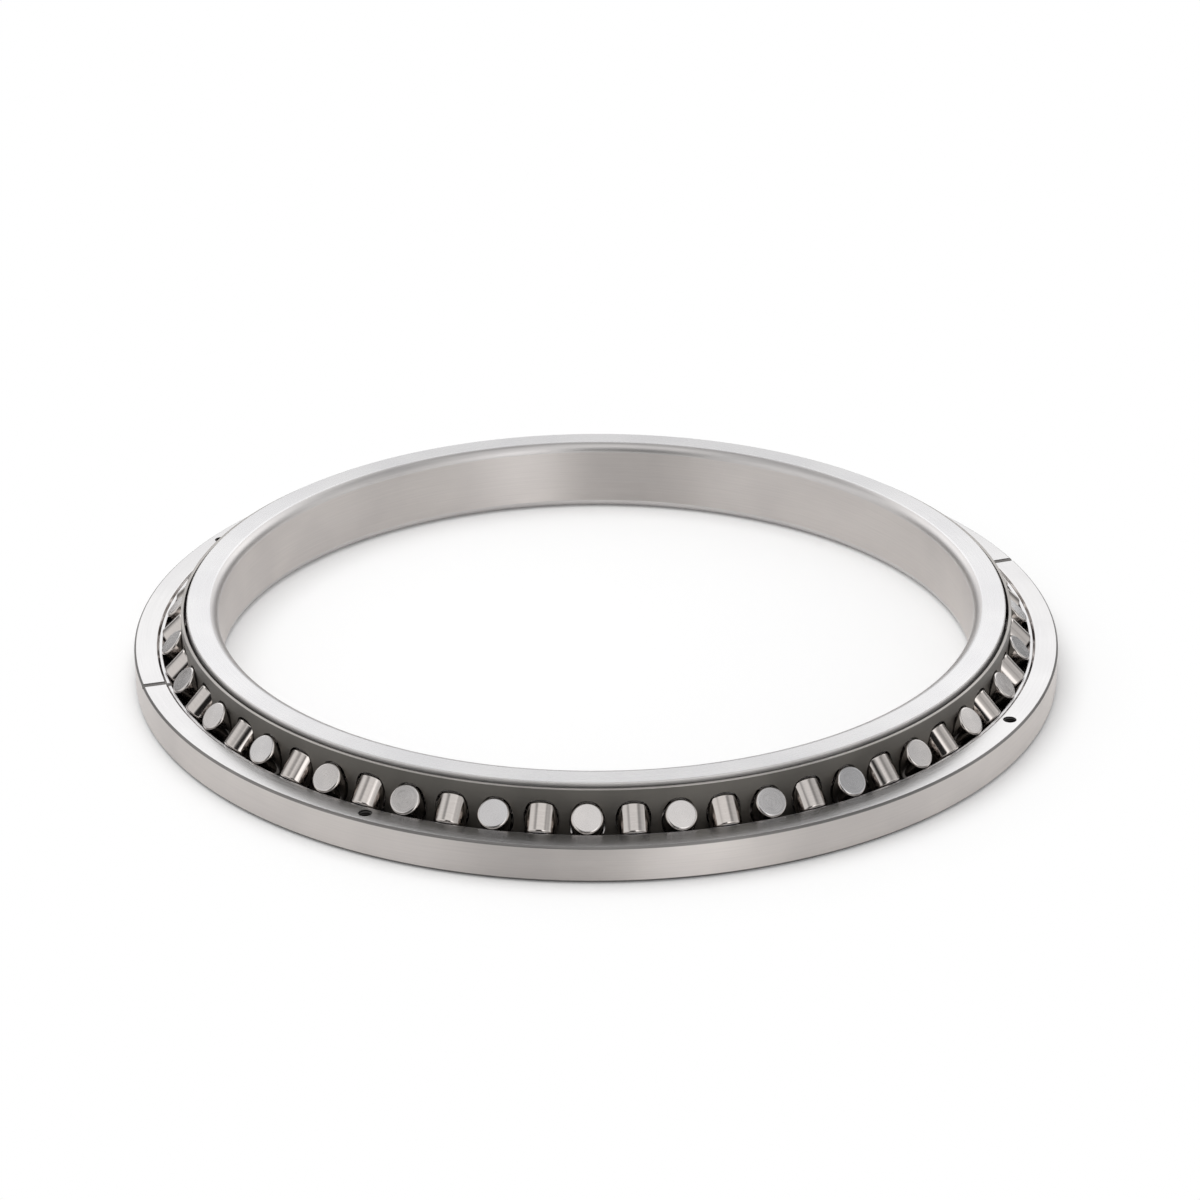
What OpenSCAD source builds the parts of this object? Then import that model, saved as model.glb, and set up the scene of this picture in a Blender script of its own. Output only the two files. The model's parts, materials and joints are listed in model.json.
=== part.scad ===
// Crossed roller bearing with a split outer ring, seen with the upper outer half taken off.
// Millimetres. The origin is on the axis at the level of the bottom faces, and +Z is the axis of rotation.
// Two bolt holes lie at 45 degrees either side of +X.

/* [Rings] */
// Outside diameter of the outer ring
outer_d = 310; // [270:0.5:400]
// Radial thickness of the outer ring, from its outside in to its shoulder beside the cage
outer_wall = 15.05; // [13:0.05:20]
// Radial thickness of the inner ring, from its shoulder beside the cage in to the bore
inner_wall = 10.55; // [9:0.05:20]
// Width of the inner ring, and of the two outer halves together
ring_w = 25; // [22:0.5:34]
// Radius of the round at each end of the bore
bore_round = 3; // [1:0.1:4]
// Chamfer on the outer ring's lower outside edge
seat_chamfer = 1; // [0.4:0.1:2]
// Chamfer on the outside edge of the split face
split_chamfer = 0.6; // [0.2:0.1:1]
// Chamfer on the ring edges beside the roller gap
shoulder_chamfer = 0.3; // [0.2:0.1:0.8]

/* [Rollers] */
// Diameter of a roller
roller_d = 10; // [8:0.1:10.6]
// How much shorter a roller is than its diameter
roller_short = 0.2; // [0.1:0.05:0.6]
// Chamfer on the ends of a roller
roller_chamfer = 0.5; // [0.2:0.05:1]
// Number of pairs, each with one roller leaning outwards and one leaning inwards
roller_pairs = 31; // [16:1:33]
// Angle from +X to the first roller, with the cage at rest
roller_phase = -3.5; // [-5.5:0.5:5.5]

/* [Raceways] */
// Clearance between a roller and the flank that it runs on
race_gap = 0.1; // [0.05:0.01:0.25]
// Half the width of the relief groove at the bottom of each V
relief_half = 0.8; // [0.4:0.1:1.4]
// Radial width of the flat ledge in the relief groove
relief_ledge = 0.95; // [0.5:0.05:1.5]

/* [Cage] */
// Thickness of the cage band
cage_t = 1; // [0.8:0.1:2]
// How far the middle of the cage band lies inside the roller circle
cage_offset = 0.75; // [0:0.05:0.9]
// Clearance between the cage and the shoulder of each ring
cage_clear = 0.95; // [0.6:0.05:1.4]
// Distance from the ring faces in to the cage's edges
cage_inset = 1.3; // [0.5:0.1:2.5]
// Clearance round a roller, and at its ends, in its pocket
pocket_gap = 0.55; // [0.2:0.05:0.8]

/* [Split face] */
// Number of bolt holes
bolt_count = 4; // [3:1:12]
// Diameter of a bolt hole, before its thread
bolt_hole_d = 4.2; // [3:0.1:5]
// Depth of a bolt hole, down to where its drill point starts
bolt_hole_depth = 8; // [5:0.5:9]
// Width of the chamfer round the mouth of a bolt hole
bolt_sink = 0.3; // [0.1:0.1:0.6]
// Distance from the split face's inner edge to the centre of a bolt hole
bolt_edge = 3; // [2.7:0.1:3.5]
// Diameter of the round oil way, of which each outer half has one half
oil_way_d = 2.4; // [1:0.1:4]
// Angle from one oil groove to the other
oil_way_span = 177; // [150:1:180]

/* [Hidden] */
$fn = 144;
pocket_fn = 48;
overcut = 1;
lean = 45;
drill_point = 118;

split_z = ring_w / 2;

// Circles from the outside inwards: shoulder, roller centres, cage, shoulder, bore
cage_room = cage_t / 2 + cage_clear;
outer_gap = cage_room - cage_offset;
inner_gap = cage_room + cage_offset;
outer_r = outer_d / 2;
outer_shoulder_r = outer_r - outer_wall;
pitch_r = outer_shoulder_r - outer_gap;
cage_r = pitch_r - cage_offset;
inner_shoulder_r = pitch_r - inner_gap;
bore_r = inner_shoulder_r - inner_wall;

roller_r = roller_d / 2;
roller_l = roller_d - roller_short;
roller_step = 360 / (2 * roller_pairs);

// Points of the two V grooves, whose flanks lie at 45 degrees
race_reach = (roller_r + race_gap) * sqrt(2);
inner_point_r = pitch_r - race_reach;
outer_point_r = pitch_r + race_reach;
inner_flank_h = race_reach - inner_gap;
outer_flank_h = race_reach - outer_gap;

// Relief grooves at the points, and the mouth of the outer one in the split face
inner_flank_end_r = inner_point_r + relief_half;
outer_flank_end_r = outer_point_r - relief_half;
outer_ledge_r = outer_flank_end_r + relief_ledge;
mouth_r = outer_ledge_r + relief_half;

// The cage band is a fine polygon, with a flat in line with each pocket
cage_flats = 3;
cage_sides = 2 * roller_pairs * cage_flats;
cage_h = ring_w - 2 * cage_inset;
pocket_d = roller_d + 2 * pocket_gap;
pocket_l = roller_l + 2 * pocket_gap;

bolt_r = mouth_r + bolt_edge;
bolt_point_h = bolt_hole_d / 2 / tan(drill_point / 2);
bolt_sink_h = bolt_sink + overcut;

ring_color = "#c8c3c0";
roller_color = "#bab5b2";
cage_color = "#4c4945";

function band_points(r) = [
    for (k = [0 : cage_sides - 1])
        let (angle = (k + 0.5) * 360 / cage_sides)
            [r * cos(angle), r * sin(angle)]
];
function pair_name(i) = str("roller_pair_", i < 10 ? "0" : "", i);

// What a round of radius r takes off a square corner at the origin
module corner_round(r) {
    difference() {
        translate([-overcut, -overcut]) square(r + overcut);
        translate([r, r]) circle(r);
    }
}

// Puts its children on the axis of roller i, with their own Z along that axis
module on_roller_axis(i) {
    rotate([0, 0, roller_phase + i * roller_step])
        translate([pitch_r, 0, split_z])
            rotate([0, i % 2 == 0 ? lean : -lean, 0])
                children();
}

module roller() {
    rotate_extrude($fn = pocket_fn)
        polygon([
            [0, -roller_l / 2],
            [roller_r - roller_chamfer, -roller_l / 2],
            [roller_r, roller_chamfer - roller_l / 2],
            [roller_r, roller_l / 2 - roller_chamfer],
            [roller_r - roller_chamfer, roller_l / 2],
            [0, roller_l / 2]
        ]);
}

module inner_section() {
    difference() {
        polygon([
            [bore_r, 0],
            [inner_shoulder_r - shoulder_chamfer, 0],
            [inner_shoulder_r, shoulder_chamfer],
            [inner_shoulder_r, split_z - inner_flank_h],
            [inner_flank_end_r, split_z - relief_half],
            [inner_flank_end_r - relief_ledge, split_z - relief_half],
            [inner_flank_end_r - relief_ledge, split_z + relief_half],
            [inner_flank_end_r, split_z + relief_half],
            [inner_shoulder_r, split_z + inner_flank_h],
            [inner_shoulder_r, ring_w - shoulder_chamfer],
            [inner_shoulder_r - shoulder_chamfer, ring_w],
            [bore_r, ring_w]
        ]);
        translate([bore_r, 0]) corner_round(bore_round);
        translate([bore_r, ring_w]) mirror([0, 1]) corner_round(bore_round);
    }
}

module outer_section() {
    polygon([
        [outer_shoulder_r + shoulder_chamfer, 0],
        [outer_r - seat_chamfer, 0],
        [outer_r, seat_chamfer],
        [outer_r, split_z - split_chamfer],
        [outer_r - split_chamfer, split_z],
        [mouth_r, split_z],
        [outer_ledge_r, split_z - relief_half],
        [outer_flank_end_r, split_z - relief_half],
        [outer_shoulder_r, split_z - outer_flank_h],
        [outer_shoulder_r, shoulder_chamfer]
    ]);
}

module bolt_hole() {
    translate([0, 0, split_z - bolt_hole_depth])
        cylinder(d = bolt_hole_d, h = bolt_hole_depth + overcut, $fn = pocket_fn);
    translate([0, 0, split_z - bolt_hole_depth - bolt_point_h])
        cylinder(d1 = 0, d2 = bolt_hole_d, h = bolt_point_h, $fn = pocket_fn);
    translate([0, 0, split_z - bolt_sink])
        cylinder(d1 = bolt_hole_d, d2 = bolt_hole_d + 2 * bolt_sink_h, h = bolt_sink_h, $fn = pocket_fn);
}

module oil_groove() {
    translate([outer_flank_end_r - oil_way_d / 2, 0, split_z])
        rotate([0, 90, 0])
            cylinder(d = oil_way_d, h = outer_r - outer_flank_end_r + oil_way_d, $fn = pocket_fn);
}

// Lower half of the split outer ring
module outer_ring_lower() {
    color(ring_color)
        difference() {
            rotate_extrude() outer_section();
            for (i = [0 : bolt_count - 1])
                rotate([0, 0, (i + 0.5) * 360 / bolt_count]) translate([bolt_r, 0, 0]) bolt_hole();
            for (angle = [180, 180 - oil_way_span])
                rotate([0, 0, angle]) oil_groove();
        }
}

// Inner ring, with the V groove round its outside
module inner_ring() {
    color(ring_color) rotate_extrude() inner_section();
}

// Thin band just inside the roller circle, with a pocket cut along the axis of each roller
module cage() {
    color(cage_color)
        difference() {
            rotate([0, 0, roller_phase])
                translate([0, 0, cage_inset])
                    linear_extrude(cage_h)
                        difference() {
                            polygon(band_points(cage_r + cage_t / 2));
                            polygon(band_points(cage_r - cage_t / 2));
                        }
            for (i = [0 : 2 * roller_pairs - 1])
                on_roller_axis(i) cylinder(d = pocket_d, h = pocket_l, center = true, $fn = pocket_fn);
        }
}

// Two neighbouring rollers, the first leaning outwards and the second inwards at the top
module roller_pair(i) {
    color(roller_color)
        for (k = [2 * i - 2, 2 * i - 1])
            on_roller_axis(k) roller();
}

outer_ring_lower();
inner_ring();
cage();
for (i = [1 : roller_pairs])
    roller_pair(i);
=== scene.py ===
"""Dresses the crossed roller bearing: fine rings, cage and rollers in ground steel, in a white studio.

All meshes are built in millimetres in the frame of the CAD model and scaled to metres at the end.
"""

from __future__ import annotations

import json
import logging
import math
import random
from dataclasses import dataclass
from enum import Enum
from typing import Any, Iterable, Sequence

import bmesh
import bpy
from mathutils import Matrix, Vector

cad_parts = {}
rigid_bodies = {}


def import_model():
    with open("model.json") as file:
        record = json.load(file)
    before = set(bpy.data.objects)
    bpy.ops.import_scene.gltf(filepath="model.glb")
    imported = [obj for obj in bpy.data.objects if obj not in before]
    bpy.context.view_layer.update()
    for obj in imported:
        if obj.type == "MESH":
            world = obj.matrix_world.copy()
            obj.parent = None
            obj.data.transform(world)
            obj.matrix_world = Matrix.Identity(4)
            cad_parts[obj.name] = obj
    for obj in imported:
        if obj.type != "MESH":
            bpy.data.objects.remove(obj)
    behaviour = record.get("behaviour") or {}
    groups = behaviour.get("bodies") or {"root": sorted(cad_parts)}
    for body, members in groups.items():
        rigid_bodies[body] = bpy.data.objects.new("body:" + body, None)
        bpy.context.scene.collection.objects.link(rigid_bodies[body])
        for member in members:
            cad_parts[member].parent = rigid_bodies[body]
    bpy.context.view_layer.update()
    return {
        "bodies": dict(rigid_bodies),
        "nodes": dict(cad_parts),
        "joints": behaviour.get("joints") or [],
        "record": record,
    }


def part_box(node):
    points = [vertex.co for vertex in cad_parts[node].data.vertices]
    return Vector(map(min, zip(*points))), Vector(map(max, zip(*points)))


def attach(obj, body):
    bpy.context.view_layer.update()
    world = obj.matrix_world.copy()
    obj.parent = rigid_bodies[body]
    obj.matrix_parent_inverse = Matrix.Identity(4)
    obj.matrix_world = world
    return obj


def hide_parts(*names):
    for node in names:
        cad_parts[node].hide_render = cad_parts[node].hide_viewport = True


LOG = logging.getLogger("bearing")

MM = 0.001
UV_NAME = "own_axis"
TONE_NAME = "tone"
SHARP_DEG = 38.0
RING_STEPS = 720
Color = tuple[float, float, float]

# Tolerances in millimetres
SMALL = 0.01
MERGE_MM = 1e-5
ON_AXIS_MM = 1e-6
RACE_MARGIN_MM = 1.0

# Limits of a unit normal's part along an axis, by which faces are told apart
FLAT_FROM = 0.98
END_FROM = 0.9
WALL_TO = 0.08
ACROSS_TO = 0.1

# How the noise of a finish becomes tint, shade, roughness and depth
PATCH_RANGE = (0.35, 0.65)
LINE_RANGE = (0.25, 0.75)
LINE_SHADE = (0.93, 1.05)
LINE_ROUGH_RANGE = (0.3, 0.7)
LINE_DEPTH_MM = 0.02
TONE_RANGE = (0.45, 1.0)
QUARTER_TURN = 0.25


class Body(Enum):
    """Bodies of the CAD model that pieces ride on."""

    OUTER = "outer_ring"
    INNER = "inner_ring"
    CAGE = "cage"


class Slot(Enum):
    """Material slots of the record."""

    RING = "ring_steel"
    ROLLER = "roller_steel"
    CAGE = "cage_steel"


class Lay(Enum):
    """Which coordinates the grinding lines of a finish follow."""

    BEARING_AXIS = "rings round the bearing's axis"
    OWN_AXIS = "rings round the piece's own axis, from its UV map"


class NodeGraph:
    """A node tree with short calls for adding and joining nodes."""

    def __init__(self, tree: bpy.types.NodeTree) -> None:
        """Takes over a tree and empties it.

        Args:
            tree: Node tree of a material or a world.
        """
        self.tree = tree
        self.tree.nodes.clear()

    def add(
        self, kind: str, inputs: dict[str | int, Any] | None = None, **settings: Any
    ) -> bpy.types.Node:
        """Adds a node.

        Args:
            kind: Type name of the node.
            inputs: Socket name or number, with a value or with a socket to join.
            settings: Properties of the node.

        Returns:
            The new node.
        """
        node = self.tree.nodes.new(kind)
        for name, value in settings.items():
            setattr(node, name, value)
        for key, value in (inputs or {}).items():
            if isinstance(value, bpy.types.NodeSocket):
                self.tree.links.new(value, node.inputs[key])
            else:
                node.inputs[key].default_value = value
        return node

    def math(self, operation: str, *values: Any) -> bpy.types.NodeSocket:
        """Adds a math node.

        Args:
            operation: Name of the operation.
            values: Its numbers or sockets, in order.

        Returns:
            The result's socket.
        """
        return self.add("ShaderNodeMath", dict(enumerate(values)), operation=operation).outputs[0]

    def blend(self, factor: Any, low: Any, high: Any) -> bpy.types.NodeSocket:
        """Adds a colour mix.

        Args:
            factor: Share of the second colour.
            low: First colour.
            high: Second colour.

        Returns:
            The mixed colour's socket.
        """
        return self.add("ShaderNodeMix", {0: factor, 6: low, 7: high}, data_type="RGBA").outputs[2]

    def remap(
        self, value: Any, source: Sequence[float], target: Sequence[float], soft: bool = False
    ) -> bpy.types.NodeSocket:
        """Adds a map range node.

        Args:
            value: Socket to map.
            source: Low and high end of the value.
            target: What they become.
            soft: Eases in and out.

        Returns:
            The result's socket.
        """
        node = self.add(
            "ShaderNodeMapRange",
            {0: value, 1: source[0], 2: source[1], 3: target[0], 4: target[1]},
            interpolation_type="SMOOTHSTEP" if soft else "LINEAR",
        )
        return node.outputs[0]


@dataclass(frozen=True)
class SteelFinish:
    """Machined steel, with fine lines from grinding and a faint change of tint from place to place."""

    name: str
    color: Color
    tint: Color
    roughness: float
    roughness_spread: float
    anisotropy: float
    lay: Lay = Lay.BEARING_AXIS
    lines_per_mm: float = 2.5
    line_waves: float = 6.0
    bump: float = 0.05
    patch_mm: float = 26.0
    metallic: float = 1.0
    toned: Color | None = None

    def material(self) -> bpy.types.Material:
        """Builds the material, once for each finish.

        Returns:
            The finish's material.
        """
        found = bpy.data.materials.get(self.name)
        if found:
            return found
        made = bpy.data.materials.new(self.name)
        made.use_nodes = True
        graph = NodeGraph(made.node_tree)
        coords = graph.add("ShaderNodeTexCoord")
        lines = self._lines(graph, coords)
        patches = graph.add(
            "ShaderNodeTexNoise",
            {"Vector": coords.outputs["Object"], "Scale": 1 / (self.patch_mm * MM), "Detail": 2.0},
        ).outputs[0]
        warm = graph.remap(patches, PATCH_RANGE, (0.0, 1.0), soft=True)
        shade = graph.remap(lines, LINE_RANGE, LINE_SHADE)
        color = graph.blend(warm, (*self.color, 1.0), (*self.tint, 1.0))
        if self.toned:
            tone = graph.add("ShaderNodeAttribute", attribute_name=TONE_NAME).outputs["Fac"]
            color = graph.blend(graph.remap(tone, TONE_RANGE, (0.0, 1.0)), color, (*self.toned, 1.0))
        color = graph.add(
            "ShaderNodeVectorMath", {0: color, "Scale": shade}, operation="SCALE"
        ).outputs[0]
        low, high = self.roughness - self.roughness_spread, self.roughness + self.roughness_spread
        rough = graph.remap(lines, LINE_ROUGH_RANGE, (low, high))
        bump = graph.add(
            "ShaderNodeBump", {"Strength": self.bump, "Distance": LINE_DEPTH_MM * MM, "Height": lines}
        ).outputs[0]
        shader = graph.add(
            "ShaderNodeBsdfPrincipled",
            {
                "Base Color": color,
                "Metallic": self.metallic,
                "Roughness": rough,
                "Anisotropic": self.anisotropy,
                "Anisotropic Rotation": QUARTER_TURN,
                "Normal": bump,
                "Tangent": self._tangent(graph),
            },
        )
        graph.add("ShaderNodeOutputMaterial", {"Surface": shader.outputs[0]})
        return made

    def _tangent(self, graph: NodeGraph) -> bpy.types.NodeSocket:
        """Gives the direction of the grinding lines.

        Args:
            graph: Node graph of the material.

        Returns:
            Socket of the direction.
        """
        if self.lay is Lay.BEARING_AXIS:
            return graph.add("ShaderNodeTangent", direction_type="RADIAL", axis="Z").outputs[0]
        return graph.add("ShaderNodeTangent", direction_type="UV_MAP", uv_map=UV_NAME).outputs[0]

    def _lines(self, graph: NodeGraph, coords: bpy.types.Node) -> bpy.types.NodeSocket:
        """Makes noise that is fine across the grinding lines and long along them.

        Args:
            graph: Node graph of the material.
            coords: Its texture coordinate node.

        Returns:
            Socket of the noise.
        """
        if self.lay is Lay.OWN_AXIS:
            uv = graph.add("ShaderNodeSeparateXYZ", {0: coords.outputs["UV"]}).outputs
            turn, across, level = graph.math("MULTIPLY", uv[0], math.tau), uv[1], 0.0
            along = (graph.math("COSINE", turn), graph.math("SINE", turn))
            across = graph.math("MULTIPLY", across, self.lines_per_mm)
        else:
            place = graph.add("ShaderNodeSeparateXYZ", {0: coords.outputs["Object"]}).outputs
            turn = graph.math("ARCTAN2", place[1], place[0])
            along = (graph.math("COSINE", turn), graph.math("SINE", turn))
            flat = graph.add("ShaderNodeCombineXYZ", {0: place[0], 1: place[1]}).outputs[0]
            radius = graph.add("ShaderNodeVectorMath", {0: flat}, operation="LENGTH").outputs["Value"]
            across = graph.math("MULTIPLY", radius, self.lines_per_mm / MM)
            level = graph.math("MULTIPLY", place[2], self.lines_per_mm / MM)
        first = graph.math("MULTIPLY", along[0], self.line_waves)
        second = graph.math("MULTIPLY", along[1], self.line_waves)
        where = graph.add("ShaderNodeCombineXYZ", {0: across, 1: level, 2: first}).outputs[0]
        return graph.add(
            "ShaderNodeTexNoise",
            {"Vector": where, "W": second, "Scale": 1.0, "Detail": 3.0, "Roughness": 0.6},
            noise_dimensions="4D",
        ).outputs[0]


GROUND_WALL = SteelFinish("ground_wall", (0.69, 0.65, 0.624), (0.65, 0.613, 0.592), 0.44, 0.05, 0.98)
LAPPED_FACE = SteelFinish("lapped_face", (0.64, 0.634, 0.638), (0.61, 0.604, 0.612), 0.27, 0.03, 0.85)
RACEWAY = SteelFinish("honed_raceway", (0.56, 0.54, 0.53), (0.53, 0.51, 0.51), 0.18, 0.03, 0.5)
TURNED_EDGE = SteelFinish("turned_edge", (0.62, 0.60, 0.59), (0.59, 0.57, 0.565), 0.38, 0.04, 0.3)
SPLIT_FACE = SteelFinish("split_face", (0.62, 0.612, 0.612), (0.59, 0.582, 0.585), 0.22, 0.03, 0.6)
# Dark base colour is painted shade: the outer ring's chamfers and its oil grooves are darkened to stand for
# the shadowed floor and gaps that they mirror.
CHAMFER_PAINTED_SHADE = SteelFinish("outer_chamfer_painted_shade", (0.24, 0.231, 0.224), (0.2, 0.193, 0.188), 0.4, 0.05, 0.3)
# Near-black base colour is painted shade for the insides of the bolt holes and their threads, not the
# colour of the steel.
HOLE_PAINTED_SHADE = SteelFinish("bolt_hole_painted_shade", (0.085, 0.082, 0.08), (0.065, 0.062, 0.06), 0.45, 0.08, 0.0)
SHOULDER = SteelFinish("turned_shoulder", (0.7, 0.683, 0.673), (0.66, 0.643, 0.635), 0.54, 0.05, 0.2)
ROLLER_SIDE = SteelFinish(
    "roller_side", (0.58, 0.54, 0.512), (0.54, 0.507, 0.485), 0.12, 0.03, 0.5, Lay.OWN_AXIS, line_waves=1.5
)
ROLLER_END = SteelFinish(
    "roller_end",
    (0.64, 0.61, 0.595),
    (0.6, 0.578, 0.57),
    0.26,
    0.05,
    0.3,
    Lay.OWN_AXIS,
    line_waves=1.0,
    patch_mm=14.0,
    toned=(0.54, 0.535, 0.545),
)
OXIDE_CAGE = SteelFinish(
    "oxide_cage",
    (0.148, 0.139, 0.126),
    (0.122, 0.115, 0.104),
    0.42,
    0.06,
    0.3,
    line_waves=9.0,
    metallic=0.85,
)
CAGE_POCKET = SteelFinish(
    "cage_pocket", (0.13, 0.124, 0.113), (0.105, 0.1, 0.092), 0.6, 0.06, 0.0, metallic=0.1
)
# Light base colour is a painted highlight along the cage's rounded edges, far above the oxide's own colour.
CAGE_EDGE_PAINTED_HIGHLIGHT = SteelFinish("cage_edge_painted_highlight", (0.44, 0.42, 0.4), (0.38, 0.362, 0.345), 0.4, 0.05, 0.3, metallic=0.95)


@dataclass(frozen=True)
class Corner:
    """A corner of a ring's section, in millimetres."""

    r: float
    z: float
    round_mm: float = 0.12
    segments: int = 3


@dataclass(frozen=True)
class BearingSizes:
    """Sizes that the pieces share, in millimetres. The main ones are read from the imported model."""

    outer_r: float
    split_z: float
    width: float
    bore_r: float
    inner_shoulder_r: float
    cage_low: float
    cage_high: float
    bolt_r: float
    bolt_hole_r: float
    bolt_count: int
    cage_t: float = 1.0
    cage_offset: float = 0.75
    cage_clear: float = 0.95
    pocket_gap: float = 0.55
    roller_r: float = 5.0
    roller_l: float = 9.8
    roller_chamfer: float = 0.5
    race_gap: float = 0.1
    relief_half: float = 0.8
    relief_ledge: float = 0.95
    bore_round: float = 3.4
    seat_chamfer: float = 1.0
    split_chamfer: float = 0.6
    shoulder_chamfer: float = 0.3
    roller_pairs: int = 31
    roller_phase: float = -3.5
    roller_lean: float = 45.0

    @classmethod
    def from_frame(cls, frame: dict[str, Any]) -> "BearingSizes":
        """Reads the main sizes.


        Returns:
            The sizes.
        """
        mounts = {mount["name"]: mount for mount in frame["record"]["mounts"]}
        bolts = mounts["split_bolts"]["dims"]
        outer_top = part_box("outer_ring_lower")[1] / MM
        inner_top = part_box("inner_ring")[1] / MM
        cage_low, cage_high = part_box("cage")
        return cls(
            outer_r=outer_top.x,
            split_z=outer_top.z,
            width=inner_top.z,
            bore_r=mounts["shaft_bore"]["dims"]["r_mm"],
            inner_shoulder_r=inner_top.x,
            cage_low=cage_low.z / MM,
            cage_high=cage_high.z / MM,
            bolt_r=bolts["pcd_mm"] / 2,
            bolt_hole_r=bolts["hole_r_mm"],
            bolt_count=bolts["count"],
        )

    @property
    def cage_room(self) -> float:
        """Radial distance from the middle of the cage band to a ring's shoulder."""
        return self.cage_t / 2 + self.cage_clear

    @property
    def inner_gap(self) -> float:
        """Radial distance from the roller centres in to the inner ring's shoulder."""
        return self.cage_room + self.cage_offset

    @property
    def outer_gap(self) -> float:
        """Radial distance from the roller centres out to the outer ring's shoulder."""
        return self.cage_room - self.cage_offset

    @property
    def pitch_r(self) -> float:
        """Radius of the circle that the roller centres lie on."""
        return self.inner_shoulder_r + self.inner_gap

    @property
    def race_reach(self) -> float:
        """Radial distance from the roller centres to the point of a V groove."""
        return (self.roller_r + self.race_gap) * math.sqrt(2)

    @property
    def inner_flank_h(self) -> float:
        """Height of the inner V groove's flank above or below the split."""
        return self.race_reach - self.inner_gap

    @property
    def outer_flank_h(self) -> float:
        """Height of the outer V groove's flank below the split."""
        return self.race_reach - self.outer_gap

    def roller_place(self, index: int) -> Matrix:
        """Gives the place of one roller.

        Args:
            index: Number of the roller round the circle, from 0.

        Returns:
            Matrix from the roller's own axis, along Z, to the bearing.
        """
        angle = self.roller_phase + index * 180 / self.roller_pairs
        lean = self.roller_lean if index % 2 == 0 else -self.roller_lean
        return (
            Matrix.Rotation(math.radians(angle), 4, "Z")
            @ Matrix.Translation((self.pitch_r, 0, self.split_z))
            @ Matrix.Rotation(math.radians(lean), 4, "Y")
        )


def ring_mesh(corners: Sequence[Corner], steps: int) -> bmesh.types.BMesh:
    """Spins a rounded section round the bearing's axis.

    Args:
        corners: Corners of the section, in order.
        steps: Number of steps in a full turn.

    Returns:
        A closed ring, in millimetres.
    """
    bm = bmesh.new()
    verts = [bm.verts.new((corner.r, 0, corner.z)) for corner in corners]
    bm.faces.new(verts)
    for corner, vert in zip(corners, verts):
        bmesh.ops.bevel(
            bm,
            geom=[vert],
            offset=corner.round_mm,
            offset_type="OFFSET",
            affect="VERTICES",
            segments=corner.segments,
            profile=0.5,
            material=-1,
        )
    bmesh.ops.delete(bm, geom=bm.faces[:], context="FACES_ONLY")
    spin_round(bm, steps)
    return bm


def spin_round(bm: bmesh.types.BMesh, steps: int) -> None:
    """Spins everything in a mesh a full turn round Z, and closes it.

    Args:
        bm: Mesh that holds the edges of a section.
        steps: Number of steps in the turn.
    """
    bmesh.ops.spin(
        bm,
        geom=bm.verts[:] + bm.edges[:],
        cent=(0, 0, 0),
        axis=(0, 0, 1),
        dvec=(0, 0, 0),
        angle=math.tau,
        steps=steps,
        use_merge=True,
        use_normal_flip=False,
        use_duplicate=False,
    )
    bmesh.ops.remove_doubles(bm, verts=bm.verts, dist=MERGE_MM)
    bmesh.ops.recalc_face_normals(bm, faces=bm.faces)


def spun_solid(points: Sequence[tuple[float, float]], steps: int) -> bmesh.types.BMesh:
    """Spins an open line that starts and ends on the axis.

    Args:
        points: Radius and height of each point, from the axis and back to it.
        steps: Number of steps in a full turn.

    Returns:
        A closed solid, in millimetres.
    """
    bm = bmesh.new()
    verts = [bm.verts.new((r, 0, z)) for r, z in points]
    for first, second in zip(verts, verts[1:]):
        bm.edges.new((first, second))
    spin_round(bm, steps)
    return bm


def mesh_from(bm: bmesh.types.BMesh, name: str) -> bpy.types.Mesh:
    """Turns a bmesh into a mesh and frees it.

    Args:
        bm: Finished bmesh.
        name: Name of the mesh.

    Returns:
        The mesh.
    """
    mesh = bpy.data.meshes.new(name)
    bm.to_mesh(mesh)
    bm.free()
    return mesh


def applied(obj: bpy.types.Object, name: str) -> bpy.types.Mesh:
    """Gives the mesh of an object with its modifiers applied, and removes the object.

    Args:
        obj: Object with modifiers.
        name: Name of the new mesh.

    Returns:
        The mesh.
    """
    graph = bpy.context.evaluated_depsgraph_get()
    made = bpy.data.meshes.new_from_object(obj.evaluated_get(graph), depsgraph=graph)
    made.name = name
    bpy.data.objects.remove(obj)
    return made


def scratch_object(mesh: bpy.types.Mesh) -> bpy.types.Object:
    """Puts a mesh into the scene as an object.

    Args:
        mesh: Mesh to show.

    Returns:
        The object, at the origin.
    """
    obj = bpy.data.objects.new(mesh.name, mesh)
    bpy.context.scene.collection.objects.link(obj)
    return obj


def cut(mesh: bpy.types.Mesh, cutter: bpy.types.Mesh) -> bpy.types.Mesh:
    """Takes one closed mesh out of another.

    Args:
        mesh: Mesh to cut.
        cutter: Mesh to take out of it.

    Returns:
        The cut mesh.
    """
    body, tool = scratch_object(mesh), scratch_object(cutter)
    modifier = body.modifiers.new("cut", "BOOLEAN")
    modifier.operation = "DIFFERENCE"
    modifier.solver = "EXACT"
    modifier.object = tool
    made = applied(body, mesh.name)
    bpy.data.objects.remove(tool)
    return made


def join(parts: Iterable[bmesh.types.BMesh], name: str) -> bpy.types.Mesh:
    """Puts several meshes into one.

    Args:
        parts: Finished meshes, which are freed.
        name: Name of the new mesh.

    Returns:
        One mesh with all of them.
    """
    whole = bmesh.new()
    for part in parts:
        piece = mesh_from(part, "part")
        whole.from_mesh(piece)
        bpy.data.meshes.remove(piece)
    return mesh_from(whole, name)


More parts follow.
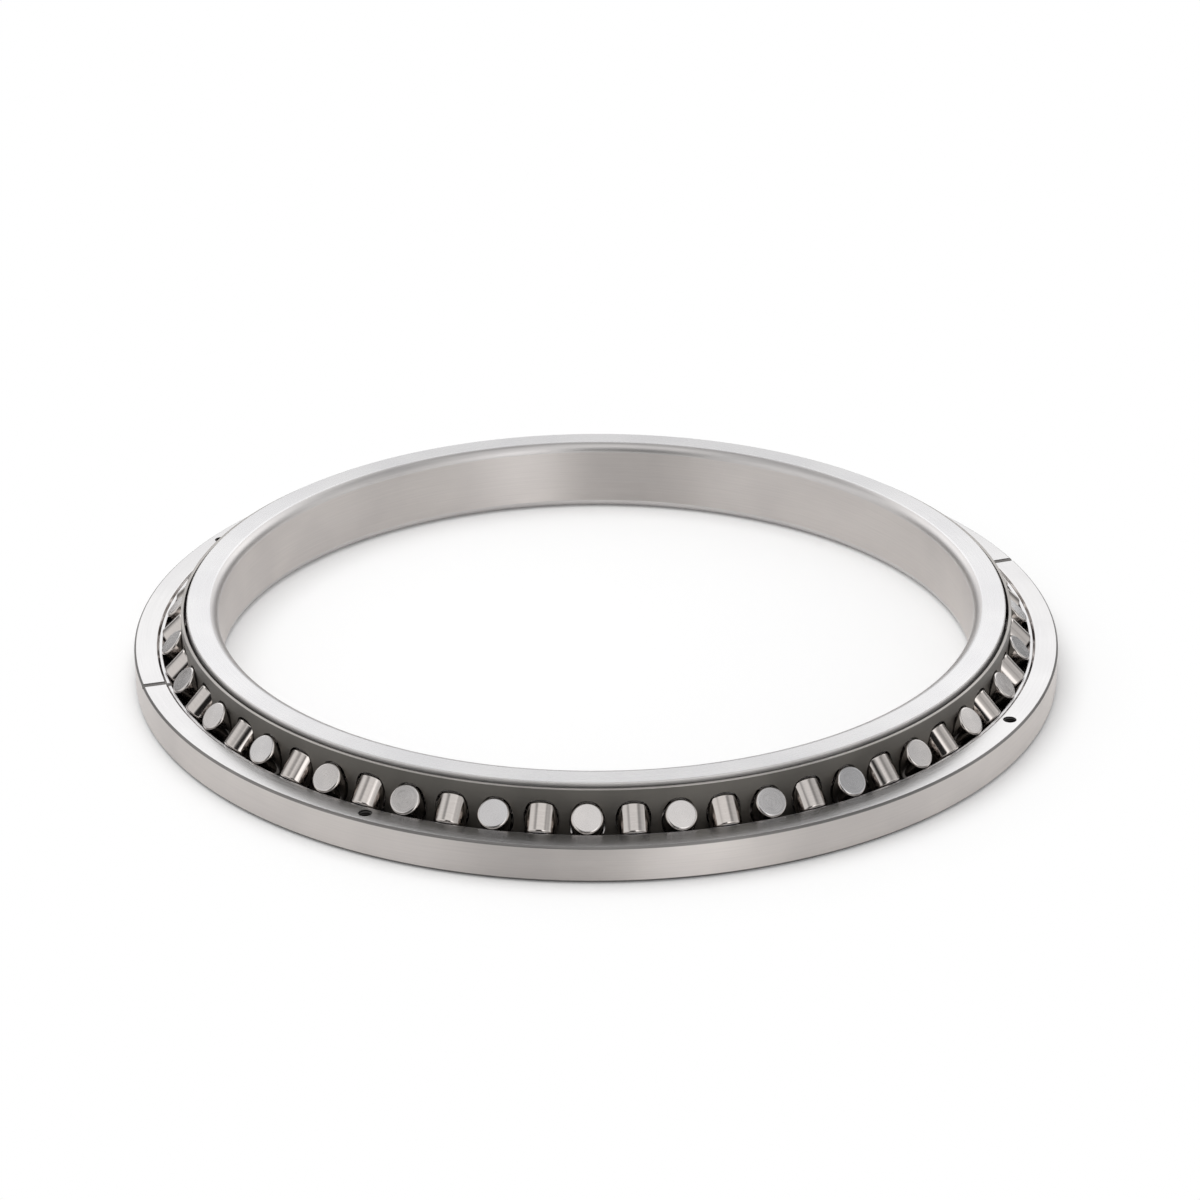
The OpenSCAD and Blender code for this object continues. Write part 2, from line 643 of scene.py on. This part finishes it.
def finished_piece(
    name: str,
    mesh: bpy.types.Mesh,
    body: Body,
    finishes: Sequence[SteelFinish],
    nodes: Sequence[str] = (),
) -> bpy.types.Object:
    """Scales a mesh to metres, shades it smooth and hands it to the frame.

    Args:
        name: Name of the piece.
        mesh: Its mesh, in millimetres.
        body: Body that it rides on.
        finishes: Its finishes, in the order of the mesh's material numbers.
        nodes: CAD nodes that it stands for.

    Returns:
        The piece.
    """
    mesh.transform(Matrix.Scale(MM, 4))
    for finish in finishes:
        mesh.materials.append(finish.material())
    mesh.shade_smooth()
    mesh.set_sharp_from_angle(angle=math.radians(SHARP_DEG))
    holder = scratch_object(mesh)
    weighted = holder.modifiers.new("weighted", "WEIGHTED_NORMAL")
    weighted.mode = "FACE_AREA"
    weighted.weight = 100
    weighted.keep_sharp = True
    smooth = applied(holder, name)
    piece = scratch_object(smooth)
    piece.name = name
    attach(piece, body.value)
    if nodes:
        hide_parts(*nodes)
    LOG.info("%s: %d faces on %s", name, len(smooth.polygons), body.value)
    return piece


class Face(Enum):
    """Number of the finish that a ring's face takes."""

    WALL = 0
    FLAT = 1
    RACE = 2
    EDGE = 3
    # Inside of a bolt hole, in painted shade
    HOLE_PAINTED_SHADE = 4
    SPLIT = 5
    # Chamfers and oil grooves of the outer ring, in painted shade
    CHAMFER = 6
    SHOULDER = 7


RING_FINISHES = (
    GROUND_WALL,
    LAPPED_FACE,
    RACEWAY,
    TURNED_EDGE,
    HOLE_PAINTED_SHADE,
    SPLIT_FACE,
    CHAMFER_PAINTED_SHADE,
    SHOULDER,
)


def number_faces(mesh: bpy.types.Mesh, sizes: BearingSizes) -> None:
    """Numbers a ring's faces by how they are machined.

    Args:
        mesh: Mesh of a ring, in millimetres.
        sizes: Sizes of the bearing.
    """
    for polygon in mesh.polygons:
        upright = abs(polygon.normal.z)
        radius = polygon.center.xy.length
        if upright > FLAT_FROM:
            kind = Face.SPLIT if abs(polygon.center.z - sizes.split_z) < SMALL else Face.FLAT
        elif abs(radius - sizes.pitch_r) < sizes.race_reach + RACE_MARGIN_MM:
            in_groove = abs(polygon.center.z - sizes.split_z) < sizes.outer_flank_h
            kind = Face.RACE if in_groove and upright > WALL_TO else Face.SHOULDER
        elif upright < WALL_TO:
            kind = Face.WALL
        else:
            # Outer ring chamfers take painted shade; the inner ring's take the turned edge's finish.
            kind = Face.CHAMFER if radius > sizes.pitch_r else Face.EDGE
        polygon.material_index = kind.value


@dataclass
class OuterRing:
    """Lower half of the split outer ring, with its bolt holes and oil grooves."""

    sizes: BearingSizes
    thread_depth: float = 0.35
    thread_pitch: float = 0.7
    thread_sink: float = 0.05
    thread_root_share: float = 0.9
    thread_crest_share: float = 0.15
    thread_steps: int = 32
    hole_steps: int = 48
    hole_depth: float = 8.0
    hole_sink: float = 0.08
    drill_point_deg: float = 118.0
    oil_way_r: float = 1.2
    oil_way_angles: tuple[float, float] = (180.0, 3.0)
    split_round: float = 0.15
    overcut: float = 1.0

    def section(self) -> list[Corner]:
        """Lays out the ring's section.

        Returns:
            Its corners, in order.
        """
        s = self.sizes
        shoulder = s.pitch_r + s.outer_gap
        flank_end = s.pitch_r + s.race_reach - s.relief_half
        ledge = flank_end + s.relief_ledge
        return [
            Corner(shoulder + s.shoulder_chamfer, 0),
            Corner(s.outer_r - s.seat_chamfer, 0),
            Corner(s.outer_r, s.seat_chamfer),
            Corner(s.outer_r, s.split_z - s.split_chamfer, self.split_round),
            Corner(s.outer_r - s.split_chamfer, s.split_z, self.split_round),
            Corner(ledge + s.relief_half, s.split_z),
            Corner(ledge, s.split_z - s.relief_half),
            Corner(flank_end, s.split_z - s.relief_half),
            Corner(shoulder, s.split_z - s.outer_flank_h),
            Corner(shoulder, s.shoulder_chamfer),
        ]

    def hole_places(self) -> list[Matrix]:
        """Places the bolt holes.

        Returns:
            A matrix for each hole, to the middle of its mouth on the split face.
        """
        s = self.sizes
        step = math.tau / s.bolt_count
        return [
            Matrix.Rotation((i + 0.5) * step, 4, "Z") @ Matrix.Translation((s.bolt_r, 0, s.split_z))
            for i in range(s.bolt_count)
        ]

    def cutters(self) -> list[bmesh.types.BMesh]:
        """Makes the shapes of the bolt holes and the oil grooves.

        Returns:
            One closed mesh for each.
        """
        made = []
        hole_r = self.sizes.bolt_hole_r
        point_h = hole_r / math.tan(math.radians(self.drill_point_deg / 2))
        mouth_r = hole_r + self.hole_sink + self.overcut
        for place in self.hole_places():
            hole = spun_solid(
                [
                    (0, -self.hole_depth - point_h),
                    (hole_r, -self.hole_depth),
                    (hole_r, -self.hole_sink),
                    (mouth_r, self.overcut),
                    (0, self.overcut),
                ],
                steps=self.hole_steps,
            )
            hole.transform(place)
            made.append(hole)
        s = self.sizes
        start = s.pitch_r + s.race_reach - s.relief_half - self.oil_way_r
        length = s.outer_r + self.overcut - start
        for angle in self.oil_way_angles:
            groove = bmesh.new()
            bmesh.ops.create_cone(
                groove,
                cap_ends=True,
                segments=self.hole_steps,
                radius1=self.oil_way_r,
                radius2=self.oil_way_r,
                depth=length,
                matrix=Matrix.Rotation(math.radians(angle), 4, "Z")
                @ Matrix.Translation((start + length / 2, 0, s.split_z))
                @ Matrix.Rotation(math.radians(90), 4, "Y"),
            )
            made.append(groove)
        return made

    def thread(self) -> bmesh.types.BMesh:
        """Winds the ridge of a thread down a hole, below the split face.

        Returns:
            A closed helical ridge, in millimetres, with its axis on Z.
        """
        root = self.sizes.bolt_hole_r + self.thread_sink
        crest = self.sizes.bolt_hole_r - self.thread_depth
        half = self.thread_pitch / 2
        root_h, crest_h = half * self.thread_root_share, half * self.thread_crest_share
        section = [(root, root_h), (crest, crest_h), (crest, -crest_h), (root, -root_h)]
        bm = bmesh.new()
        bm.faces.new([bm.verts.new((r, 0, z)) for r, z in section])
        turns = math.floor((self.hole_depth - self.hole_sink) / self.thread_pitch) - 1
        steps = turns * self.thread_steps
        bmesh.ops.spin(
            bm,
            geom=bm.verts[:] + bm.edges[:] + bm.faces[:],
            cent=(0, 0, 0),
            axis=(0, 0, 1),
            dvec=(0, 0, -turns * self.thread_pitch / steps),
            angle=turns * math.tau,
            steps=steps,
            use_merge=False,
            use_normal_flip=False,
            use_duplicate=False,
        )
        bmesh.ops.translate(bm, vec=(0, 0, -self.hole_sink - half), verts=bm.verts)
        bmesh.ops.recalc_face_normals(bm, faces=bm.faces)
        return bm

    def number_cuts(self, mesh: bpy.types.Mesh) -> None:
        """Numbers the faces of the bolt holes for the painted shade inside them, and those of the oil
        grooves as the chamfer, whose finish is painted shade too.

        Args:
            mesh: Mesh of the cut ring, in millimetres.
        """
        s = self.sizes
        holes = [place.translation.xy for place in self.hole_places()]
        grooves = [Vector((math.cos(a), math.sin(a))) for a in map(math.radians, self.oil_way_angles)]
        reach = s.bolt_hole_r + self.hole_sink
        for polygon in mesh.polygons:
            middle, normal = polygon.center, polygon.normal
            if middle.z > s.split_z - SMALL:
                continue
            in_hole = any((middle.xy - hole).length < reach for hole in holes)
            in_groove = middle.z > s.split_z - self.oil_way_r - SMALL and any(
                (middle.xy - along * middle.xy.dot(along)).length < self.oil_way_r + SMALL
                and middle.xy.dot(along) > 0
                and abs(normal.xy.dot(along)) < ACROSS_TO
                for along in grooves
            )
            # Hole faces take painted shade; groove faces take the chamfer's painted shade.
            if in_hole:
                polygon.material_index = Face.HOLE_PAINTED_SHADE.value
            elif in_groove:
                polygon.material_index = Face.CHAMFER.value

    def build(self) -> None:
        """Makes the ring and the threads in its holes."""
        ring = mesh_from(ring_mesh(self.section(), RING_STEPS), "outer_ring_half")
        ring = cut(ring, join(self.cutters(), "cutters"))
        number_faces(ring, self.sizes)
        self.number_cuts(ring)
        nodes = ["outer_ring_lower"]
        finished_piece("outer_ring_half", ring, Body.OUTER, RING_FINISHES, nodes)
        for number, place in enumerate(self.hole_places(), start=1):
            ridge = self.thread()
            ridge.transform(place)
            mesh = mesh_from(ridge, f"bolt_thread_{number}")
            # The threads take the same painted shade as the holes.
            finished_piece(f"bolt_thread_{number}", mesh, Body.OUTER, (HOLE_PAINTED_SHADE,))


@dataclass
class InnerRing:
    """Inner ring, with the V groove round its outside and a rounded bore."""

    sizes: BearingSizes
    round_segments: int = 14

    def section(self) -> list[Corner]:
        """Lays out the ring's section.

        Returns:
            Its corners, in order.
        """
        s = self.sizes
        flank_end = s.pitch_r - s.race_reach + s.relief_half
        bottom = flank_end - s.relief_ledge
        return [
            Corner(s.bore_r, 0, s.bore_round, self.round_segments),
            Corner(s.inner_shoulder_r - s.shoulder_chamfer, 0),
            Corner(s.inner_shoulder_r, s.shoulder_chamfer),
            Corner(s.inner_shoulder_r, s.split_z - s.inner_flank_h),
            Corner(flank_end, s.split_z - s.relief_half),
            Corner(bottom, s.split_z - s.relief_half),
            Corner(bottom, s.split_z + s.relief_half),
            Corner(flank_end, s.split_z + s.relief_half),
            Corner(s.inner_shoulder_r, s.split_z + s.inner_flank_h),
            Corner(s.inner_shoulder_r, s.width - s.shoulder_chamfer),
            Corner(s.inner_shoulder_r - s.shoulder_chamfer, s.width),
            Corner(s.bore_r, s.width, s.bore_round, self.round_segments),
        ]

    def build(self) -> None:
        """Makes the ring."""
        ring = mesh_from(ring_mesh(self.section(), RING_STEPS), "inner_ring_fine")
        number_faces(ring, self.sizes)
        finished_piece("inner_ring_fine", ring, Body.INNER, RING_FINISHES, ["inner_ring"])


class CageFace(Enum):
    """Number of the finish that a face of the cage takes."""

    BAND = 0
    # Rounded edges of the band, with a painted highlight
    EDGE = 1
    POCKET = 2


@dataclass
class Cage:
    """Thin dark band, with a round pocket along the axis of each roller."""

    sizes: BearingSizes
    edge_round: float = 0.2
    steps_per_roller: int = 12
    pocket_steps: int = 48
    pocket_round: float = 1.2
    pocket_round_segments: int = 4

    def band(self) -> bpy.types.Mesh:
        """Makes the band before its pockets are cut.

        Returns:
            A closed ring, in millimetres.
        """
        s = self.sizes
        middle = s.pitch_r - s.cage_offset
        inside, outside = middle - s.cage_t / 2, middle + s.cage_t / 2
        outline = [
            (inside, s.cage_low),
            (outside, s.cage_low),
            (outside, s.cage_high),
            (inside, s.cage_high),
        ]
        corners = [Corner(r, z, self.edge_round) for r, z in outline]
        steps = 2 * s.roller_pairs * self.steps_per_roller
        return mesh_from(ring_mesh(corners, steps), "cage_band")

    def pocket(self, index: int) -> bmesh.types.BMesh:
        """Makes the shape of one pocket, with rounded ends.

        Args:
            index: Number of the roller round the circle, from 0.

        Returns:
            A closed shape to cut out of the band, in millimetres.
        """
        s = self.sizes
        pocket = bmesh.new()
        bmesh.ops.create_cone(
            pocket,
            cap_ends=True,
            segments=self.pocket_steps,
            radius1=s.roller_r + s.pocket_gap,
            radius2=s.roller_r + s.pocket_gap,
            depth=s.roller_l + 2 * s.pocket_gap,
            matrix=s.roller_place(index),
        )
        rims = [edge for edge in pocket.edges if any(len(f.verts) > 4 for f in edge.link_faces)]
        bmesh.ops.bevel(
            pocket,
            geom=rims,
            offset=self.pocket_round,
            offset_type="OFFSET",
            affect="EDGES",
            segments=self.pocket_round_segments,
            profile=0.5,
            material=-1,
        )
        return pocket

    def number_faces(self, mesh: bpy.types.Mesh) -> None:
        """Numbers the faces of the band, its edges and its pockets.

        Args:
            mesh: Mesh of the cut band, in millimetres.
        """
        s = self.sizes
        for polygon in mesh.polygons:
            middle = polygon.center
            if min(middle.z - s.cage_low, s.cage_high - middle.z) < self.edge_round:
                # The rounded edges take a painted highlight.
                kind = CageFace.EDGE
            elif abs(polygon.normal.xy.dot(middle.xy.normalized())) > END_FROM:
                kind = CageFace.BAND
            else:
                kind = CageFace.POCKET
            polygon.material_index = kind.value

    def build(self) -> None:
        """Makes the band and cuts its pockets."""
        pockets = [self.pocket(index) for index in range(2 * self.sizes.roller_pairs)]
        cage = cut(self.band(), join(pockets, "pockets"))
        self.number_faces(cage)
        finishes = (OXIDE_CAGE, CAGE_EDGE_PAINTED_HIGHLIGHT, CAGE_POCKET)
        finished_piece("cage_band", cage, Body.CAGE, finishes, ["cage"])


class RollerFace(Enum):
    """Number of the finish that a face of a roller takes."""

    SIDE = 0
    END = 1


@dataclass
class RollerSet:
    """Short rollers, every second one leaning the other way."""

    sizes: BearingSizes
    steps: int = 64
    edge_round: float = 0.3
    edge_segments: int = 3
    seed: int = 7

    def roller(self, tone: float) -> bmesh.types.BMesh:
        """Makes one roller on its own axis, with a UV map that follows its turning.

        Args:
            tone: How dark and cool its ends are, from 0 to 1.

        Returns:
            A closed roller, in millimetres, with its side and end faces numbered.
        """
        s = self.sizes
        half, rim = s.roller_l / 2, s.roller_r - s.roller_chamfer
        bm = bmesh.new()
        outline = [
            (0, -half),
            (rim, -half),
            (s.roller_r, s.roller_chamfer - half),
            (s.roller_r, half - s.roller_chamfer),
            (rim, half),
            (0, half),
        ]
        verts = [bm.verts.new((r, 0, z)) for r, z in outline]
        bm.faces.new(verts)
        bmesh.ops.bevel(
            bm,
            geom=verts[1:-1],
            offset=self.edge_round,
            offset_type="OFFSET",
            affect="VERTICES",
            segments=self.edge_segments,
            profile=0.5,
            material=-1,
        )
        bmesh.ops.delete(bm, geom=bm.faces[:], context="FACES_ONLY")
        on_axis = [edge for edge in bm.edges if all(vert.co.x < ON_AXIS_MM for vert in edge.verts)]
        bmesh.ops.delete(bm, geom=on_axis, context="EDGES")
        spin_round(bm, self.steps)
        layer = bm.loops.layers.uv.new(UV_NAME)
        tones = bm.faces.layers.float.new(TONE_NAME)
        for face in bm.faces:
            kind = RollerFace.END if abs(face.normal.z) > END_FROM else RollerFace.SIDE
            face.material_index = kind.value
            face[tones] = tone
            middle = face.calc_center_median()
            centre_turn = math.atan2(middle.y, middle.x)
            for loop in face.loops:
                radius = math.hypot(loop.vert.co.x, loop.vert.co.y)
                turn = math.atan2(loop.vert.co.y, loop.vert.co.x) if radius > ON_AXIS_MM else centre_turn
                turn = centre_turn + math.remainder(turn - centre_turn, math.tau)
                along = loop.vert.co.z + math.copysign(s.roller_r - radius, loop.vert.co.z)
                loop[layer].uv = (turn / math.tau, along)
        return bm

    def build(self) -> None:
        """Makes the rollers, two to a piece."""
        s = self.sizes
        draw = random.Random(self.seed)
        for pair in range(s.roller_pairs):
            rollers = []
            for index in (2 * pair, 2 * pair + 1):
                roller = self.roller(draw.random())
                roller.transform(s.roller_place(index))
                rollers.append(roller)
            name, node = f"rollers_{pair + 1:02d}", f"roller_pair_{pair + 1:02d}"
            finishes = (ROLLER_SIDE, ROLLER_END)
            finished_piece(name, join(rollers, name), Body.CAGE, finishes, [node])


@dataclass(frozen=True)
class Panel:
    """An upright light panel round the set, or a dark gap where its level is below zero."""

    azimuth: float
    inner_deg: float
    outer_deg: float
    level: float
    lower_edge: float = -90.0


@dataclass(frozen=True)
class Softbox:
    """A square lamp that faces the bearing, with angles from the camera's side and millimetres."""

    name: str
    azimuth: float
    elevation: float
    distance: float
    size: float
    radiance: float


@dataclass
class Studio:
    """White studio: floor, soft lamps, the surroundings that the metal mirrors, and the camera."""

    view_azimuth: float = -16.85
    view_elevation: float = 26.07
    view_distance: float = 1302.2
    view_roll: float = -0.17
    aim_z: float = 1.0
    lens: float = 115.34
    sensor: float = 36.0
    clip_m: tuple[float, float] = (0.05, 50.0)
    image_px: float = 1200.0
    aim_px: tuple[float, float] = (596.15, 655.77)
    floor_radius: float = 6000.0
    floor_steps: int = 96
    floor_drop: float = 0.02
    floor_albedo: float = 0.92
    white_from: float = 155.0
    white_to: float = 188.0
    glow_near: float = 0.08
    ambient: float = 0.62
    wall_level: float = 1.02
    ceiling_near: float = 1.05
    ceiling_far: float = 0.4
    ceiling_side: float = 0.36
    ceiling_from: float = 36.0
    ceiling_to: float = 54.0
    ceiling_away: tuple[float, float] = (-0.2, 0.35)
    ceiling_aside: tuple[float, float] = (0.35, 0.6)
    horizon_dim: float = 0.88
    horizon_from: float = 8.0
    horizon_to: float = 30.0
    horizon_away: tuple[float, float] = (0.05, 0.55)
    darkest: float = 0.02
    edge_blur: float = 6.0
    softbox: Softbox = Softbox("overhead_softbox", -110, 79, 1300, 1300, 2.05)
    panels: tuple[Panel, ...] = (
        Panel(180, 35, 60, 0.62),
        Panel(-140, 8, 28, 0.38),
        Panel(140, 8, 28, 0.38),
        Panel(90, 10, 30, -0.28, 22),
        Panel(-11, 13, 29, -1.0),
        Panel(22, 6, 15, 0.8),
        Panel(60, 6, 22, -0.26),
    )

    def turned(self, azimuth: float, elevation: float) -> Vector:
        """Gives a direction from the bearing, counted from the camera's side.

        Args:
            azimuth: Degrees from the camera's side, positive to the camera's right.
            elevation: Degrees above the floor.

        Returns:
            Unit vector in the bearing's frame.
        """
        a, e = math.radians(azimuth + self.view_azimuth), math.radians(elevation)
        return Vector((math.sin(a) * math.cos(e), -math.cos(a) * math.cos(e), math.sin(e)))

    def add_camera(self) -> None:
        """Puts the camera where the photograph was taken from."""
        data = bpy.data.cameras.new("photo_camera")
        data.sensor_width = self.sensor
        data.lens = self.lens
        data.shift_x = (self.image_px / 2 - self.aim_px[0]) / self.image_px
        data.shift_y = (self.aim_px[1] - self.image_px / 2) / self.image_px
        data.clip_start, data.clip_end = self.clip_m
        camera = bpy.data.objects.new("photo_camera", data)
        bpy.context.scene.collection.objects.link(camera)
        back = self.turned(0, self.view_elevation)
        level = (-back).to_track_quat("-Z", "Y").to_matrix().to_4x4()
        roll = Matrix.Rotation(math.radians(self.view_roll), 4, "Z")
        place = (Vector((0, 0, self.aim_z)) + back * self.view_distance) * MM
        camera.matrix_world = Matrix.Translation(place) @ level @ roll
        bpy.context.scene.camera = camera

    def add_floor(self) -> None:
        """Lays a white floor that keeps soft shadows."""
        bm = bmesh.new()
        bmesh.ops.create_circle(
            bm, cap_ends=True, segments=self.floor_steps, radius=self.floor_radius * MM
        )
        bmesh.ops.translate(bm, vec=(0, 0, -self.floor_drop * MM), verts=bm.verts)
        mesh = mesh_from(bm, "studio_floor")
        floor = scratch_object(mesh)
        made = bpy.data.materials.new("studio_floor")
        made.use_nodes = True
        graph = NodeGraph(made.node_tree)
        place = graph.add("ShaderNodeTexCoord").outputs["Object"]
        away = graph.add("ShaderNodeVectorMath", {0: place}, operation="LENGTH").outputs["Value"]
        edges = (self.white_from * MM, self.white_to * MM)
        share = graph.remap(away, edges, (self.glow_near, 1.0), soft=True)
        paths = graph.add("ShaderNodeLightPath").outputs
        seen = graph.math("MAXIMUM", paths["Is Camera Ray"], paths["Is Glossy Ray"])
        share = graph.math("MULTIPLY", seen, share)
        matt = graph.add("ShaderNodeBsdfDiffuse", {"Color": (*[self.floor_albedo] * 3, 1)}).outputs[0]
        glow = graph.add("ShaderNodeEmission", {"Color": (1, 1, 1, 1), "Strength": 1.0}).outputs[0]
        mixed = graph.add("ShaderNodeMixShader", {0: share, 1: matt, 2: glow}).outputs[0]
        graph.add("ShaderNodeOutputMaterial", {"Surface": mixed})
        mesh.materials.append(made)

    def add_softbox(self) -> None:
        """Hangs the softbox above the bearing."""
        box = self.softbox
        data = bpy.data.lights.new(box.name, "AREA")
        data.shape = "SQUARE"
        data.size = box.size * MM
        data.energy = box.radiance * math.pi * (box.size * MM) ** 2
        lamp = bpy.data.objects.new(box.name, data)
        lamp.visible_glossy = False
        bpy.context.scene.collection.objects.link(lamp)
        away = self.turned(box.azimuth, box.elevation)
        facing = away.to_track_quat("Z", "Y").to_matrix().to_4x4()
        lamp.matrix_world = Matrix.Translation(away * box.distance * MM) @ facing

    def _facing(
        self, graph: NodeGraph, toward: bpy.types.NodeSocket, azimuth: float
    ) -> bpy.types.NodeSocket:
        """Tells how far a direction faces a level one.

        Args:
            graph: Node graph of the world.
            toward: Socket of the direction.
            azimuth: Degrees of the level one, from the camera's side.

        Returns:
            Socket of the cosine between them.
        """
        inputs = {0: toward, 1: self.turned(azimuth, 0)}
        return graph.add("ShaderNodeVectorMath", inputs, operation="DOT_PRODUCT").outputs["Value"]

    def _rise(
        self, graph: NodeGraph, height: bpy.types.NodeSocket, zero: float, one: float
    ) -> bpy.types.NodeSocket:
        """Goes from 0 to 1 between two elevations.

        Args:
            graph: Node graph of the world.
            height: Socket of the direction's height.
            zero: Elevation in degrees where it is 0.
            one: Elevation in degrees where it is 1.

        Returns:
            Socket of the result.
        """
        edges = (math.sin(math.radians(zero)), math.sin(math.radians(one)))
        return graph.remap(height, edges, (0.0, 1.0), soft=True)

    def add_surroundings(self) -> None:
        """Makes the world: white to the camera, panels and gaps to the metal, plain light to the rest."""
        world = bpy.data.worlds.new("studio")
        world.use_nodes = True
        bpy.context.scene.world = world
        graph = NodeGraph(world.node_tree)
        toward = graph.add("ShaderNodeTexCoord").outputs["Generated"]
        height = graph.add("ShaderNodeSeparateXYZ", {0: toward}).outputs[2]
        flat = {0: toward, 1: (1, 1, 0)}
        level = graph.add("ShaderNodeVectorMath", flat, operation="MULTIPLY").outputs[0]
        level = graph.add("ShaderNodeVectorMath", {0: level}, operation="NORMALIZE").outputs[0]
        walls: Any = self.wall_level
        for panel in self.panels:
            near = self._facing(graph, level, panel.azimuth)
            edges = [math.cos(math.radians(turn)) for turn in (panel.outer_deg, panel.inner_deg)]
            share = graph.remap(near, edges, (0.0, panel.level), soft=True)
            if panel.lower_edge > 0:
                start, end = panel.lower_edge - self.edge_blur, panel.lower_edge + self.edge_blur
                share = graph.math("MULTIPLY", share, self._rise(graph, height, start, end))
            walls = graph.math("ADD", walls, share)
        away = self._facing(graph, toward, 180)
        skirt = self._rise(graph, height, self.horizon_to, self.horizon_from)
        dim = graph.remap(away, self.horizon_away, (0.0, self.horizon_dim), soft=True)
        skirt = graph.math("MULTIPLY", skirt, dim)
        walls = graph.math("MULTIPLY", walls, graph.math("SUBTRACT", 1.0, skirt))
        levels = (self.ceiling_near, self.ceiling_far)
        ceiling = graph.remap(away, self.ceiling_away, levels, soft=True)
        aside = graph.math("ABSOLUTE", self._facing(graph, toward, 90))
        levels = (self.ceiling_near, self.ceiling_side)
        sides = graph.remap(aside, self.ceiling_aside, levels, soft=True)
        ceiling = graph.math("MINIMUM", ceiling, sides)
        high = self._rise(graph, height, self.ceiling_from, self.ceiling_to)
        low = graph.math("SUBTRACT", 1.0, high)
        low_part = graph.math("MULTIPLY", walls, low)
        high_part = graph.math("MULTIPLY", high, ceiling)
        total = graph.math("MAXIMUM", graph.math("ADD", low_part, high_part), self.darkest)
        paths = graph.add("ShaderNodeLightPath").outputs
        strength = graph.math("MULTIPLY", paths["Is Glossy Ray"], total)
        strength = graph.math("ADD", strength, paths["Is Camera Ray"])
        seen = graph.math("MAXIMUM", paths["Is Camera Ray"], paths["Is Glossy Ray"])
        rest = graph.math("MULTIPLY", graph.math("SUBTRACT", 1.0, seen), self.ambient)
        strength = graph.math("ADD", strength, rest)
        inputs = {"Color": (1, 1, 1, 1), "Strength": strength}
        light = graph.add("ShaderNodeBackground", inputs).outputs[0]
        graph.add("ShaderNodeOutputWorld", {"Surface": light})

    def build(self) -> None:
        """Sets up the whole studio."""
        bpy.context.scene.view_settings.view_transform = "Standard"
        self.add_camera()
        self.add_floor()
        self.add_surroundings()
        self.add_softbox()


def main() -> None:
    """Builds the dressed bearing and its studio."""
    logging.basicConfig(level=logging.INFO, format="%(name)s: %(message)s")
    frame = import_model()
    sizes = BearingSizes.from_frame(frame)
    OuterRing(sizes).build()
    InnerRing(sizes).build()
    Cage(sizes).build()
    RollerSet(sizes).build()
    Studio().build()


if __name__ == "__main__":
    main()
